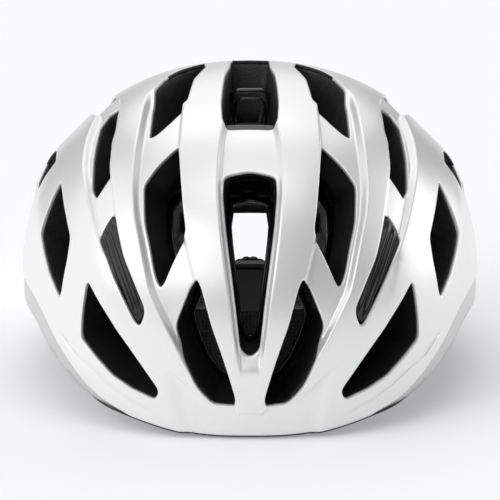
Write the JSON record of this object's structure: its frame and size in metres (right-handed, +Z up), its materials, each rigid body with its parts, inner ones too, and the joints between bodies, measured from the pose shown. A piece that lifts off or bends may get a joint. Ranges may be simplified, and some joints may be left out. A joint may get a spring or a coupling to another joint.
{
  "type": "cycling helmet",
  "caption": "Vented road cycling helmet with white in-moulded shells, black foam, slip liner, dial fit cradle, pads, webbing straps and chin buckle.",
  "frame": {"origin": "under the middle of the helmet, on the surface its rim stands on", "axes": "+Z up to the crown, -Y to the brow, +X to the wearer's left"},
  "size_m": [0.209, 0.2727, 0.1398],
  "materials": {
    "foam": "matte",
    "pearl_shell": "satin",
    "silver_shell": "satin",
    "black_trim": "satin",
    "insert": "satin",
    "slip_plastic": "gloss",
    "elastomer": "matte",
    "pad_fabric": "matte",
    "hook": "matte",
    "fit_plastic": "satin",
    "dial_rubber": "matte",
    "screw_steel": "satin",
    "webbing": "matte",
    "buckle_plastic": "satin"
  },
  "bodies": {
    "helmet": {"foam_liner": "foam", "top_shell": "pearl_shell", "lower_shell": "silver_shell", "rim_trim": "black_trim", "vent_insert_left": "insert", "vent_insert_right": "insert", "strap_anchors": "fit_plastic", "slip_studs": "elastomer", "front_strap_left": "webbing", "front_strap_right": "webbing", "rear_strap_left": "webbing", "rear_strap_right": "webbing", "divider_left": "buckle_plastic", "divider_right": "buckle_plastic", "chin_strap_left": "webbing", "chin_strap_right": "webbing", "buckle_female": "buckle_plastic", "chin_pad": "pad_fabric"},
    "slip": {"slip_liner": "slip_plastic", "brow_pad": "pad_fabric", "crown_pad": "pad_fabric", "temple_pad_left": "pad_fabric", "temple_pad_right": "pad_fabric", "top_pad_left": "pad_fabric", "top_pad_right": "pad_fabric", "hook_dots": "hook", "temple_pin_left": "fit_plastic", "temple_pin_right": "fit_plastic", "hanger_guides": "fit_plastic"},
    "cradle": {"dial_housing": "fit_plastic", "dial_cover": "fit_plastic", "detent_ring": "fit_plastic", "cradle_yoke": "fit_plastic", "cradle_pad_left": "pad_fabric", "cradle_pad_right": "pad_fabric", "arm_left": "fit_plastic", "arm_right": "fit_plastic", "hanger": "fit_plastic"},
    "dial": {"dial_knob": "dial_rubber", "dial_screw": "screw_steel", "pinion": "fit_plastic"},
    "rack_left": {"rack_left": "fit_plastic"},
    "rack_right": {"rack_right": "fit_plastic"},
    "buckle_male": {"buckle_male": "buckle_plastic", "strap_tail": "webbing"},
    "prong_front": {"prong_front": "buckle_plastic"},
    "prong_rear": {"prong_rear": "buckle_plastic"},
    "lever_left": {"divider_lever_left": "buckle_plastic"},
    "lever_right": {"divider_lever_right": "buckle_plastic"},
    "keeper": {"strap_keeper": "buckle_plastic"}
  },
  "joints": [
    {"name": "slip_yaw", "type": "hinge", "parent": "helmet", "child": "slip", "pos_m": [0, -0.0025, 0.042], "axis": [0, 0, 1], "range_deg": [-2.5, 2.5], "stiffness_Nm_per_rad": 8, "deforming": ["slip_studs"]},
    {"name": "cradle_height", "type": "hinge", "parent": "slip", "child": "cradle", "pos_m": [0, -0.033, 0.052], "axis": [-1, 0, 0], "range_deg": [0, 7]},
    {"name": "dial_turn", "type": "hinge", "parent": "cradle", "child": "dial", "pos_m": [0, 0.084, 0.014], "axis": [0, 1, 0], "range_deg": [-90, 90]},
    {"name": "rack_left_draw", "type": "hinge", "parent": "cradle", "child": "rack_left", "pos_m": [0, 0.012, 0.014], "axis": [0, 0, 1], "range_deg": [-6.3, 6.3]},
    {"name": "rack_right_draw", "type": "hinge", "parent": "cradle", "child": "rack_right", "pos_m": [0, 0.012, 0.014], "axis": [0, 0, -1], "range_deg": [-6.3, 6.3]},
    {"name": "buckle_release", "type": "slide", "parent": "helmet", "child": "buckle_male", "axis": [1, 0, 0], "range_m": [0, 0.018], "deforming": ["chin_strap_left"]},
    {"name": "prong_front_squeeze", "type": "hinge", "parent": "buckle_male", "child": "prong_front", "pos_m": [0.003, -0.0145, 0.0053], "axis": [0, 0, -1], "range_deg": [0, 4], "stiffness_Nm_per_rad": 0.3},
    {"name": "prong_rear_squeeze", "type": "hinge", "parent": "buckle_male", "child": "prong_rear", "pos_m": [0.003, 0.0025, 0.0053], "axis": [0, 0, 1], "range_deg": [0, 4], "stiffness_Nm_per_rad": 0.3},
    {"name": "lever_left_lift", "type": "hinge", "parent": "helmet", "child": "lever_left", "pos_m": [0.0645, -0.006, 0.0086], "axis": [0, 1, 0], "range_deg": [0, 75]},
    {"name": "lever_right_lift", "type": "hinge", "parent": "helmet", "child": "lever_right", "pos_m": [-0.0645, -0.006, 0.0086], "axis": [0, -1, 0], "range_deg": [0, 75]},
    {"name": "keeper_slide", "type": "slide", "parent": "buckle_male", "child": "keeper", "axis": [1, 0, 0], "range_m": [0, 0.004]}
  ],
  "couplings": [
    {"joint": "rack_left_draw", "follows": "dial_turn", "ratio": 0.069444},
    {"joint": "rack_right_draw", "follows": "dial_turn", "ratio": 0.069444}
  ]
}
